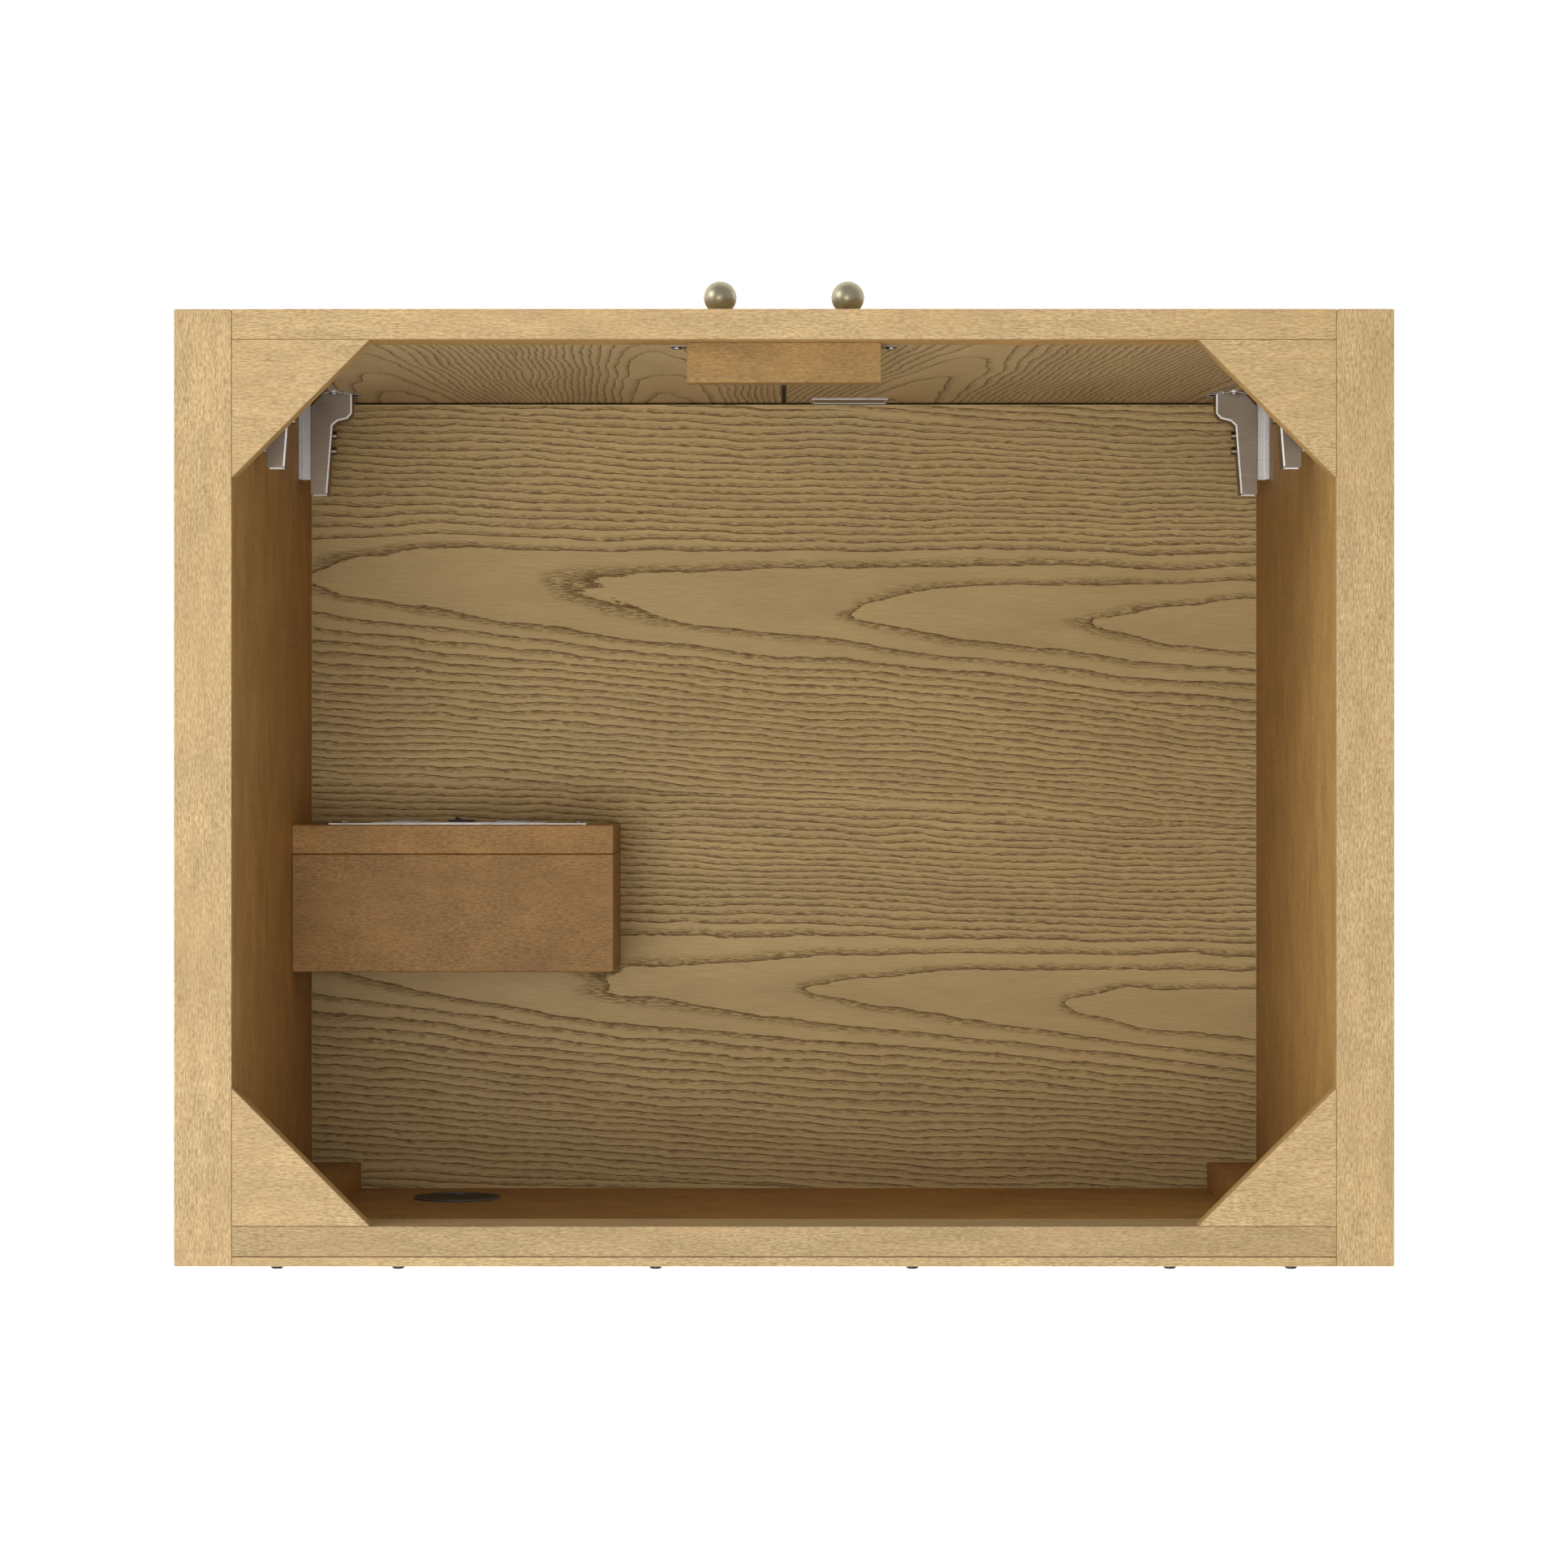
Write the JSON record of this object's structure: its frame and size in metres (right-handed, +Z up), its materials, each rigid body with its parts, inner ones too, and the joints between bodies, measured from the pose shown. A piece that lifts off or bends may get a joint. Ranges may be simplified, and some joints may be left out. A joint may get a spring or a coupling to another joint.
{
  "type": "vanity base cabinet",
  "caption": "Open-topped bathroom vanity base cabinet with inset doors on concealed hinges, corner blocks, ball knobs, a rear cable grommet and an inner power box.",
  "frame": {"origin": "centre of the carcass underside, on the floor panel's lower face", "axes": "+Z up; the doors face -Y; +X is to the right of someone facing the doors"},
  "size_m": [0.762, 0.6304, 0.488],
  "materials": {
    "stained_birch": "satin stained birch",
    "oak_veneer": "wire-brushed stained oak veneer",
    "beech_dowel": "bare beech",
    "hinge_steel": "nickel-plated pressed steel",
    "zinc_steel": "zinc-plated steel",
    "black_screw": "black phosphate",
    "aged_brass": "satin champagne brass",
    "black_plastic": "satin moulded plastic",
    "grey_plastic": "satin moulded plastic",
    "grey_plate": "brushed steel",
    "badge_metal": "satin aluminium, blank",
    "magnet": "bare steel pole piece"
  },
  "bodies": {
    "carcass": {"back_panel": "stained_birch", "back_panel_screws": "black_screw", "carcass_dowels": "beech_dowel", "catch_block": "stained_birch", "catch_left": "black_plastic", "catch_magnets": "magnet", "catch_right": "black_plastic", "catch_screws": "zinc_steel", "corner_block_front_left": "stained_birch", "corner_block_front_right": "stained_birch", "corner_block_rear_left": "stained_birch", "corner_block_rear_right": "stained_birch", "floor_panel": "oak_veneer", "front_rail": "stained_birch", "grommet_ring": "black_plastic", "hinge_adjusting_screws": "hinge_steel", "hinge_arm_left_lower": "hinge_steel", "hinge_arm_left_upper": "hinge_steel", "hinge_arm_right_lower": "hinge_steel", "hinge_arm_right_upper": "hinge_steel", "hinge_plate_left_lower": "hinge_steel", "hinge_plate_left_upper": "hinge_steel", "hinge_plate_right_lower": "hinge_steel", "hinge_plate_right_upper": "hinge_steel", "hinge_plate_screws": "hinge_steel", "outlet_left": "grey_plastic", "outlet_plate": "grey_plate", "outlet_plate_screws": "zinc_steel", "outlet_right": "grey_plastic", "power_box_end": "stained_birch", "power_box_front": "stained_birch", "power_box_rear": "stained_birch", "power_box_top": "stained_birch", "rear_rail": "stained_birch", "rear_stile_left": "stained_birch", "rear_stile_right": "stained_birch", "side_panel_left": "stained_birch", "side_panel_right": "stained_birch", "switch_housing": "black_plastic", "wiring_box": "zinc_steel"},
    "door_right": {"door_right": "oak_veneer", "knob_right": "aged_brass", "knob_screw_right": "zinc_steel", "strike_plate_right": "zinc_steel", "door_screws_right": "zinc_steel", "hinge_cup_right_lower": "hinge_steel", "hinge_cup_right_upper": "hinge_steel", "hinge_links_right": "hinge_steel"},
    "door_left": {"door_left": "oak_veneer", "knob_left": "aged_brass", "knob_screw_left": "zinc_steel", "strike_plate_left": "zinc_steel", "door_screws_left": "zinc_steel", "hinge_cup_left_lower": "hinge_steel", "hinge_cup_left_upper": "hinge_steel", "hinge_links_left": "hinge_steel", "badge_plate": "badge_metal"},
    "rocker": {"rocker_switch": "black_plastic"},
    "grommet_cap": {"grommet_cap": "black_plastic"}
  },
  "joints": [
    {"name": "door_right_hinge", "type": "hinge", "parent": "carcass", "child": "door_right", "pos_m": [0.343, -0.299, 0.226], "axis": [0, 0, 1], "range_deg": [0, 105]},
    {"name": "door_left_hinge", "type": "hinge", "parent": "carcass", "child": "door_left", "pos_m": [-0.343, -0.299, 0.226], "axis": [0, 0, -1], "range_deg": [0, 105]},
    {"name": "rocker_pivot", "type": "hinge", "parent": "carcass", "child": "rocker", "pos_m": [0.2306, 0.0278, 0.084], "axis": [0, 0, 1], "range_deg": [0, 24]},
    {"name": "grommet_cap_turn", "type": "hinge", "parent": "carcass", "child": "grommet_cap", "pos_m": [0.233, 0.292, 0.095], "axis": [0, 1, 0], "continuous": true}
  ]
}
